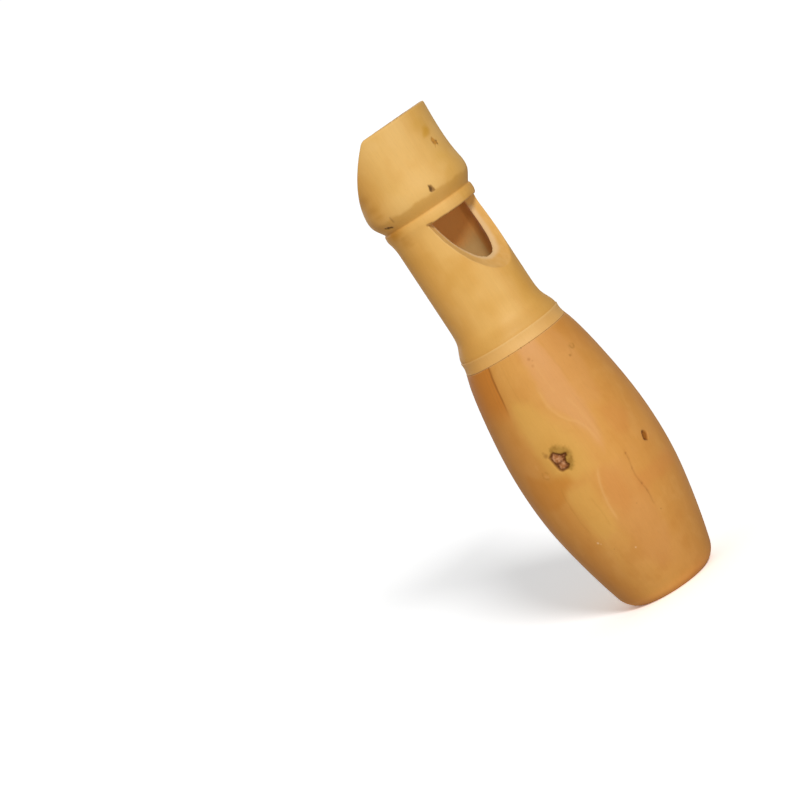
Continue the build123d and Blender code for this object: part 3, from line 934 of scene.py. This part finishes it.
def wood_grain(f, colour, seed, fibre=0.10, pore=0.10):
    """Fibres and pores along the axis, and dots where the wood is cut across."""
    end = f.span(f.nz, 0.55, 0.92)
    long_ = f.noise(1.0, 3.0, 0.6, (2400, 2400, 60), (seed, 0, 0))
    short = f.noise(1.0, 2.0, 0.5, (6500, 6500, 420), (0, seed, 0))
    cross = f.noise(1.0, 2.0, 0.6, (5200, 5200, 5200), (0, 0, seed))
    fib = f.span(long_, 0.3, 0.7, 1 - fibre, 1 + fibre * 0.7)
    colour = f.shade(colour, fib)
    dash = f.calc("MULTIPLY", f.span(short, 0.6, 0.72), f.calc("SUBTRACT", 1.0, end))
    dots = f.calc("MULTIPLY", f.span(cross, 0.58, 0.7), end)
    pores = f.calc("MAXIMUM", dash, dots)
    colour = f.shade(colour, f.calc("SUBTRACT", 1.0, f.calc("MULTIPLY", pores, pore)))
    height = f.calc("SUBTRACT", f.calc("MULTIPLY", long_, 0.5), f.calc("MULTIPLY", pores, 0.6))
    return colour, height, end


def make_fruitwood():
    f = Finish("fruitwood")
    wob = f.calc("MULTIPLY", f.calc("SUBTRACT", f.noise(150, 3, 0.55), 0.5), 1.5)
    slow = f.calc("MULTIPLY", f.calc("SUBTRACT", f.noise(38, 2, 0.5, (1, 1, 0.7)), 0.5), 1.6)
    ring = f.calc("ADD", f.calc("ADD", f.attr("ring"), wob), slow)
    stops = [
        (11, (212, 144, 64)), (22, (218, 152, 72)), (28, (223, 160, 78)), (34, (224, 161, 80)), (40, (222, 157, 76)), (46, (218, 152, 72)),
        (52, (212, 144, 64)),
    ]
    colour = f.ramp(f.calc("DIVIDE", ring, 52.0), [(d / 52.0, lin(*c)) for d, c in stops])
    # thin growth lines, in some places
    drift = f.calc("MULTIPLY", f.noise(60, 2, 0.5, shift=(1, 4, 0)), 5.0)
    wave = f.calc("SINE", f.calc("ADD", f.calc("MULTIPLY", ring, 2 * np.pi / 2.1), drift))
    line = f.span(wave, 0.25, 1.0)
    some = f.span(f.noise(85, 2, 0.5, shift=(3, 1, 0)), 0.45, 0.66)
    colour = f.blend(f.calc("MULTIPLY", f.calc("MULTIPLY", line, some), 0.07), colour, lin(196, 128, 56))
    # patches and clouds, warmer and paler
    patch = f.noise(52, 2, 0.5, shift=(0, 5, 2))
    colour = f.blend(f.span(patch, 0.48, 0.7, 0.0, 0.40), colour, lin(208, 138, 58))
    colour = f.blend(f.span(f.noise(70, 2, 0.5, shift=(7, 0, 2)), 0.52, 0.72, 0.0, 0.30), colour, lin(227, 163, 92))
    cloud = f.noise(170, 3, 0.55, (1, 1, 0.7), (2, 6, 1))
    colour = f.blend(f.span(cloud, 0.50, 0.68, 0.0, 0.32), colour, lin(208, 136, 56))
    colour = f.blend(f.span(cloud, 0.48, 0.32, 0.0, 0.28), colour, lin(230, 170, 92))
    # the broad figure
    colour = f.blend(f.calc("MULTIPLY", f.attr("gold"), 0.70), colour, lin(227, 172, 84))
    colour = f.blend(f.calc("MULTIPLY", f.attr("rosy"), 0.38), colour, lin(219, 150, 84))
    colour = f.blend(f.calc("MULTIPLY", f.attr("pink"), 0.76), colour, lin(226, 162, 97))
    colour = f.blend(f.calc("MULTIPLY", f.attr("ember"), 0.40), colour, lin(218, 144, 70))
    colour = f.blend(f.calc("MULTIPLY", f.attr("rust"), 0.52), colour, lin(206, 129, 40))
    colour = f.blend(f.calc("MULTIPLY", f.attr("wedge"), 0.85), colour, lin(212, 129, 44))
    colour = f.blend(f.calc("MULTIPLY", f.attr("wedge_edge"), 0.75), colour, lin(142, 80, 24))
    colour = f.blend(f.calc("MULTIPLY", f.attr("faint"), 0.36), colour, lin(170, 106, 40))
    colour = f.blend(f.calc("MULTIPLY", f.attr("pale"), 0.42), colour, lin(244, 194, 122))
    # painted shade: a darker, warmer tone on the side turned from the light
    colour = f.blend(f.calc("MULTIPLY", f.attr("away_side_shade"), 0.34), colour, lin(208, 132, 48))
    # painted shade darker towards the heel, and painted light brightening the very bottom edge
    colour = f.shade(colour, f.span(f.z, 0.0, 0.034, 0.87, 1.0))
    colour = f.shade(colour, f.span(f.z, 0.0, 0.0045, 1.38, 1.0))
    colour, height, end = wood_grain(f, colour, 11.0, 0.016, 0.05)
    colour = f.blend(f.calc("MULTIPLY", end, 0.45), colour, lin(184, 118, 56))
    inner = f.attr("inner")
    colour = f.blend(f.calc("MULTIPLY", inner, 0.55), colour, lin(190, 126, 66))
    # the knot, the hole and the crack
    dark, core, halo, hole = f.attr("dark"), f.attr("core"), f.attr("halo"), f.attr("hole")
    colour = f.blend(f.calc("MULTIPLY", f.attr("ground"), 0.34), colour, lin(206, 154, 66))
    mottle = f.noise(900, 3, 0.6)
    colour = f.blend(f.calc("MULTIPLY", halo, 0.88), colour, f.blend(f.span(mottle, 0.35, 0.65), lin(162, 114, 38), lin(184, 138, 58)))
    flesh = f.blend(f.span(f.noise(1100, 2, 0.6), 0.38, 0.62), lin(168, 104, 60), lin(208, 150, 108))
    colour = f.blend(f.calc("MULTIPLY", core, 0.92), colour, flesh)
    well = f.blend(f.span(mottle, 0.3, 0.7), lin(134, 72, 8), lin(162, 96, 20))
    colour = f.blend(f.calc("MULTIPLY", hole, 0.9), colour, well)
    colour = f.blend(f.calc("MULTIPLY", dark, 0.95), colour, lin(98, 45, 8))
    colour = f.blend(f.calc("MINIMUM", f.calc("MULTIPLY", f.attr("crack"), 0.40), 0.75), colour, lin(150, 90, 32))
    # small specks, dark and pale, and a faint ring mark
    for phi, z, size, weight, c in (
        (224.1, 68.75, 0.65, 0.45, (176, 108, 48)), (223.8, 66.9, 0.6, 0.3, (180, 112, 50)), (226.2, 68.0, 0.4, 0.3, (180, 116, 56)),
        (209.8, 71.9, 0.2, 0.8, (110, 64, 26)), (224.0, 71.92, 0.2, 0.8, (110, 64, 26)), (233.7, 71.9, 0.2, 0.7, (118, 70, 28)),
        (187.3, 21.3, 0.45, 0.8, (240, 200, 150)), (189.0, 20.7, 0.3, 0.6, (236, 192, 138)), (212.2, 15.7, 0.36, 0.7, (238, 196, 142)),
        (257.2, 63.8, 0.55, 0.55, (164, 104, 42)), (196.0, 18.0, 0.22, 0.5, (150, 92, 42)), (232.5, 25.0, 0.25, 0.4, (150, 96, 46)),
        (193.7, 46.7, 1.0, 0.6, (158, 102, 40)), (192.9, 47.6, 0.6, 0.35, (166, 110, 46)), (247.6, 20.2, 0.3, 0.45, (140, 84, 36)),
    ):
        r = float(body_radius(z))
        colour = f.blend(f.calc("MULTIPLY", f.dot(at_turn(phi, z, r), size, 0.1), weight), colour, lin(*c))
    eye = at_turn(265.6, 65.4, float(body_radius(65.4)))
    ring_mark = f.calc("SUBTRACT", f.dot(eye, 1.15, 0.45), f.calc("MULTIPLY", f.dot(eye, 0.75, 0.2), 0.75))
    ring_mark = f.calc("MULTIPLY", f.calc("MAXIMUM", ring_mark, 0.0), f.span(f.noise(900, 2, 0.5, shift=(1, 2, 3)), 0.35, 0.6, 0.2, 1.0))
    colour = f.blend(f.calc("MULTIPLY", ring_mark, 0.6), colour, lin(172, 114, 42))
    # rubbed edges and waxy corners
    curve = f.attr("curve")
    colour = f.blend(f.span(curve, 0.35, 1.6, 0.0, 0.35), colour, lin(232, 178, 112))
    colour = f.shade(colour, f.span(curve, -0.9, -0.15, 0.72, 1.0))
    f.put(f.bsdf.inputs["Base Color"], colour)
    smear = f.noise(120, 3, 0.6, (1, 1, 0.5))
    rough = f.span(smear, 0.3, 0.7, 0.48, 0.60)
    rough = f.calc("ADD", rough, f.calc("MULTIPLY", f.calc("MAXIMUM", f.calc("MAXIMUM", dark, core), f.calc("MAXIMUM", hole, inner)), 0.25))
    f.put(f.bsdf.inputs["Roughness"], rough)
    f.bsdf.inputs["IOR"].default_value = 1.45
    f.bsdf.inputs["Specular IOR Level"].default_value = 0.25
    f.bump(height, 0.14, 0.00003)
    f.bump(f.noise(1.0, 2, 0.5, (30, 30, 900)), 0.10, 0.00004)
    return f.mat


def make_boxwood():
    f = Finish("boxwood")
    wob = f.calc("MULTIPLY", f.calc("SUBTRACT", f.noise(170, 3, 0.55, shift=(2, 0, 0)), 0.5), 1.6)
    slow = f.calc("MULTIPLY", f.calc("SUBTRACT", f.noise(45, 2, 0.5, (1, 1, 0.6)), 0.5), 2.0)
    ring = f.calc("ADD", f.calc("ADD", f.attr("ring"), wob), slow)
    stops = [
        (15, (232, 172, 86)), (24, (235, 180, 95)), (30, (238, 188, 106)), (37.2, (238, 190, 112)), (38.6, (234, 183, 104)),
        (41, (229, 176, 90)), (47, (231, 178, 92)),
    ]
    colour = f.ramp(f.calc("DIVIDE", ring, 50.0), [(d / 50.0, lin(*c)) for d, c in stops])
    drift = f.calc("MULTIPLY", f.noise(60, 2, 0.5, shift=(1, 4, 0)), 5.0)
    wave = f.calc("SINE", f.calc("ADD", f.calc("MULTIPLY", ring, 2 * np.pi / 1.7), drift))
    some = f.span(f.noise(95, 2, 0.5, shift=(3, 1, 0)), 0.42, 0.65)
    colour = f.blend(f.calc("MULTIPLY", f.calc("MULTIPLY", f.span(wave, 0.2, 1.0), some), 0.07), colour, lin(212, 152, 64))
    cloud = f.noise(125, 3, 0.55, (1, 1, 0.8), (2, 6, 1))
    colour = f.blend(f.span(cloud, 0.50, 0.68, 0.0, 0.34), colour, lin(224, 164, 74))
    colour = f.blend(f.span(cloud, 0.48, 0.32, 0.0, 0.30), colour, lin(242, 196, 122))
    colour = f.blend(f.span(f.noise(75, 2, 0.5, shift=(0, 5, 2)), 0.5, 0.72, 0.0, 0.45), colour, lin(217, 160, 66))
    colour = f.blend(f.span(f.noise(60, 2, 0.5, shift=(7, 0, 2)), 0.5, 0.7, 0.0, 0.35), colour, lin(238, 188, 108))
    # the neck a little deeper than the mouth end
    colour = f.blend(f.span(f.z, 0.1118, 0.1160, 1.0, 0.0), colour, (1.0, 0.965, 0.915, 1.0), "MULTIPLY")
    # painted shade in the hollow of the flare
    flare_hollow_shade = f.calc("MULTIPLY", f.span(f.z, 0.07518, 0.07530), f.span(f.z, 0.0772, 0.0802, 1.0, 0.0))
    colour = f.blend(f.calc("MULTIPLY", flare_hollow_shade, 0.45), colour, lin(217, 160, 76))
    # a rosier band with a painted highlight along its top edge, and a peachy side
    belt = f.calc("MULTIPLY", f.span(f.z, 0.0720, 0.0722), f.span(f.z, 0.0751, 0.0753, 1.0, 0.0))
    colour = f.blend(f.calc("MULTIPLY", belt, 0.35), colour, lin(238, 186, 122))
    # painted highlight along the top edge of the band
    band_edge_highlight = f.calc("MULTIPLY", f.span(f.z, 0.0747, 0.0750), f.span(f.z, 0.0752, 0.0753, 1.0, 0.0))
    colour = f.blend(f.calc("MULTIPLY", band_edge_highlight, 0.32), colour, lin(244, 200, 130))
    colour = f.blend(f.calc("MULTIPLY", f.attr("peach"), 0.52), colour, lin(228, 163, 73))
    # painted shade under the bulge
    colour = f.blend(f.calc("MULTIPLY", f.attr("under"), 0.53), colour, lin(205, 147, 59))
    colour = f.blend(f.calc("MULTIPLY", f.attr("sunny"), 0.4), colour, lin(226, 172, 74))
    colour, height, end = wood_grain(f, colour, 23.0, 0.015, 0.05)
    colour = f.blend(f.calc("MULTIPLY", end, 0.30), colour, lin(214, 158, 84))
    # bare wood where the knife cut the window, and in the bore
    cut, raw, tenon = f.attr("cut"), f.attr("raw"), f.attr("tenon")
    bare = f.blend(f.span(f.noise(1.0, 2, 0.5, (900, 900, 160)), 0.35, 0.65), lin(226, 174, 102), lin(236, 188, 122))
    colour = f.blend(f.calc("MULTIPLY", cut, 0.35), colour, bare)
    inside = f.blend(f.span(f.noise(220, 3, 0.55, (1, 1, 0.6)), 0.35, 0.65), lin(188, 154, 98), lin(198, 164, 107))
    # painted shade high in the bore, where the lip's shadow falls
    inside = f.blend(f.attr("lip_shadow_tone"), inside, lin(231, 170, 94))
    # painted shade, a darker strip along one side of the bore
    inside = f.blend(f.calc("MULTIPLY", f.attr("seam"), 0.8), inside, lin(194, 134, 68))
    colour = f.blend(f.calc("MULTIPLY", raw, 0.95), colour, inside)
    colour = f.blend(f.calc("MULTIPLY", f.attr("edge_in"), 0.65), colour, lin(240, 202, 152))
    colour = f.blend(f.calc("MULTIPLY", f.attr("lip_edge"), 0.5), colour, lin(180, 126, 60))
    colour = f.blend(f.calc("MULTIPLY", tenon, 0.4), colour, lin(226, 176, 108))
    # marks
    dark, brown = f.attr("dark"), f.attr("brown")
    colour = f.blend(f.calc("MULTIPLY", f.attr("stain"), 0.86), colour, lin(214, 156, 52))
    # amber marks, and painted shade under the lip at the right of the window
    colour = f.blend(f.calc("MULTIPLY", f.attr("amber_and_lip_shade"), 0.78), colour, lin(197, 128, 26))
    mottle = f.span(f.noise(1500, 2, 0.6), 0.35, 0.65)
    colour = f.blend(f.calc("MULTIPLY", brown, 0.92), colour, f.blend(mottle, lin(112, 68, 26), lin(150, 98, 40)))
    colour = f.blend(f.calc("MULTIPLY", f.attr("eye"), 0.8), colour, f.blend(mottle, lin(172, 106, 28), lin(200, 134, 40)))
    colour = f.blend(f.calc("MULTIPLY", f.attr("spot"), 0.8), colour, lin(112, 66, 28))
    colour = f.blend(f.calc("MULTIPLY", dark, 0.96), colour, lin(62, 34, 10))
    for phi, z, size, weight in ((209.8, 72.12, 0.2, 0.6), (224.0, 72.12, 0.2, 0.6), (233.7, 72.1, 0.2, 0.5)):
        colour = f.blend(f.calc("MULTIPLY", f.dot(at_turn(phi, z, 14.5), size, 0.2), weight), colour, lin(124, 74, 32))
    # old wax in the corners, rubbed edges
    curve = f.attr("curve")
    colour = f.blend(f.span(curve, -0.9, -0.10, 0.16, 0.0), colour, lin(190, 132, 58))
    colour = f.blend(f.span(curve, 0.45, 1.8, 0.0, 0.35), colour, lin(240, 198, 130))
    f.put(f.bsdf.inputs["Base Color"], colour)
    smear = f.noise(130, 3, 0.6, (1, 1, 0.5))
    rough = f.span(smear, 0.3, 0.7, 0.46, 0.58)
    rough = f.calc("ADD", rough, f.calc("MULTIPLY", f.calc("MAXIMUM", f.calc("MAXIMUM", dark, cut), raw), 0.22))
    f.put(f.bsdf.inputs["Roughness"], rough)
    f.bsdf.inputs["IOR"].default_value = 1.45
    f.bsdf.inputs["Specular IOR Level"].default_value = 0.25
    f.bump(height, 0.12, 0.00003)
    f.bump(f.noise(1.0, 2, 0.5, (30, 30, 900)), 0.10, 0.00004)
    return f.mat


def make_block_wood():
    f = Finish("block_wood")
    colour = f.blend(f.span(f.noise(1.0, 3, 0.55, (420, 900, 60)), 0.35, 0.65), lin(202, 152, 90), lin(222, 176, 112))
    colour, height, end = wood_grain(f, colour, 31.0, 0.08, 0.11)
    colour = f.blend(f.calc("MULTIPLY", f.span(f.nz, 0.4, 0.75), 0.45), colour, lin(186, 132, 74))
    f.put(f.bsdf.inputs["Base Color"], colour)
    f.put(f.bsdf.inputs["Roughness"], f.span(f.noise(300, 2), 0.3, 0.7, 0.55, 0.72))
    f.bsdf.inputs["IOR"].default_value = 1.45
    f.bump(height, 0.3, 0.00004)
    return f.mat


def make_thread():
    f = Finish("waxed_thread")
    ply = f.attr("ply")
    colour = f.blend(f.span(f.noise(700, 3, 0.6), 0.35, 0.65), lin(196, 164, 112), lin(226, 200, 152))
    # painted shade in the grooves between the plies
    colour = f.shade(colour, f.span(ply, 0.0, 1.0, 1.0, 0.72))
    hair = f.noise(1.0, 2, 0.6, (3000, 3000, 9000))
    colour = f.shade(colour, f.span(hair, 0.3, 0.7, 0.86, 1.08))
    f.put(f.bsdf.inputs["Base Color"], colour)
    f.put(f.bsdf.inputs["Roughness"], f.span(hair, 0.3, 0.7, 0.5, 0.68))
    f.bump(hair, 0.4, 0.00004)
    return f.mat


# ------------------------------------------------------------------- camera
RIGHT = Vector((0.54451497, -0.63244225, -0.55092672))
DOWN = Vector((-0.45071081, 0.33332073, -0.82810450))
AHEAD = Vector((0.70736357, 0.69922392, -0.10355043))
cam_data = bpy.data.cameras.new("camera")
cam_data.sensor_width = 36.0
cam_data.lens = 123.793
cam = bpy.data.objects.new("camera", cam_data)
scene.collection.objects.link(cam)
cam.matrix_world = Matrix((
    (RIGHT.x, -DOWN.x, -AHEAD.x, -0.505338),
    (RIGHT.y, -DOWN.y, -AHEAD.y, -0.455009),
    (RIGHT.z, -DOWN.z, -AHEAD.z, 0.147000),
    (0, 0, 0, 1),
))
cam_data.clip_start = 0.01
cam_data.clip_end = 100.0
scene.camera = cam
scene.view_settings.view_transform = "Standard"
scene.view_settings.look = "None"

# -------------------------------------------------------------------- world
world = bpy.data.worlds.new("studio")
scene.world = world
world.use_nodes = True
wn, wl = world.node_tree.nodes, world.node_tree.links
wn.clear()
w_out = wn.new("ShaderNodeOutputWorld")
w_bg = wn.new("ShaderNodeBackground")
w_bg.inputs["Color"].default_value = (1, 1, 1, 1)
w_path = wn.new("ShaderNodeLightPath")
w_map = wn.new("ShaderNodeMapRange")
w_map.inputs["To Min"].default_value = 0.29
w_map.inputs["To Max"].default_value = 1.05
wl.new(w_path.outputs["Is Camera Ray"], w_map.inputs["Value"])
wl.new(w_map.outputs["Result"], w_bg.inputs["Strength"])
wl.new(w_bg.outputs["Background"], w_out.inputs["Surface"])


def soft_sun(name, azimuth, height, spread, strength, shadow=True):
    """Even light from an azimuth and height in degrees."""
    data = bpy.data.lights.new(name, "SUN")
    data.angle = np.radians(spread)
    data.energy = strength
    data.use_shadow = shadow
    obj = bpy.data.objects.new(name, data)
    scene.collection.objects.link(obj)
    a, h = np.radians(azimuth), np.radians(height)
    towards = Vector((np.cos(h) * np.cos(a), np.cos(h) * np.sin(a), np.sin(h)))
    obj.rotation_mode = "QUATERNION"
    obj.rotation_quaternion = (-towards).to_track_quat("-Z", "Y")
    return obj


soft_sun("key", 238, 27, 12, 1.66)
soft_sun("front_fill", 205, 4, 30, 0.42, shadow=False)
soft_sun("back_fill", 48, 8, 60, 0.95, shadow=False)

# -------------------------------------------------------------------- floor
mesh = bpy.data.meshes.new("floor")
half = 20.0
mesh.from_pydata(
    [(-half, -half, 0), (half, -half, 0), (half, half, 0), (-half, half, 0)], [], [(0, 1, 2, 3)]
)
floor = bpy.data.objects.new("floor", mesh)
scene.collection.objects.link(floor)
fm = bpy.data.materials.new("pale_floor")
fm.use_nodes = True
fn, fl = fm.node_tree.nodes, fm.node_tree.links
fn.clear()
f_out = fn.new("ShaderNodeOutputMaterial")
fb = fn.new("ShaderNodeBsdfDiffuse")
# bright to the eye, and quieter in what it throws back on the object
f_path = fn.new("ShaderNodeLightPath")
f_map = fn.new("ShaderNodeMapRange")
f_map.inputs["To Min"].default_value = 0.745
f_map.inputs["To Max"].default_value = 1.83
fl.new(f_path.outputs["Is Camera Ray"], f_map.inputs["Value"])
fl.new(f_map.outputs["Result"], fb.inputs["Color"])
fl.new(fb.outputs["BSDF"], f_out.inputs["Surface"])
floor.data.materials.append(fm)

# ------------------------------------------------------------------- pieces
body, head, lapping = build_body(), build_head(), build_lapping()
for obj, node, rides, slot, mat in (
    (body, "resonator_body", "body", "fruitwood", make_fruitwood()),
    (head, "mouthpiece_head", "head", "boxwood", make_boxwood()),
    (lapping, "tenon_lapping", "head", "waxed_thread", make_thread()),
):
    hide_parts(node)
    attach(obj, rides)
    obj.data.materials.clear()
    obj.data.materials.append(mat)

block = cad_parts["fipple_block"]
block.data.materials.clear()
block.data.materials.append(make_block_wood())
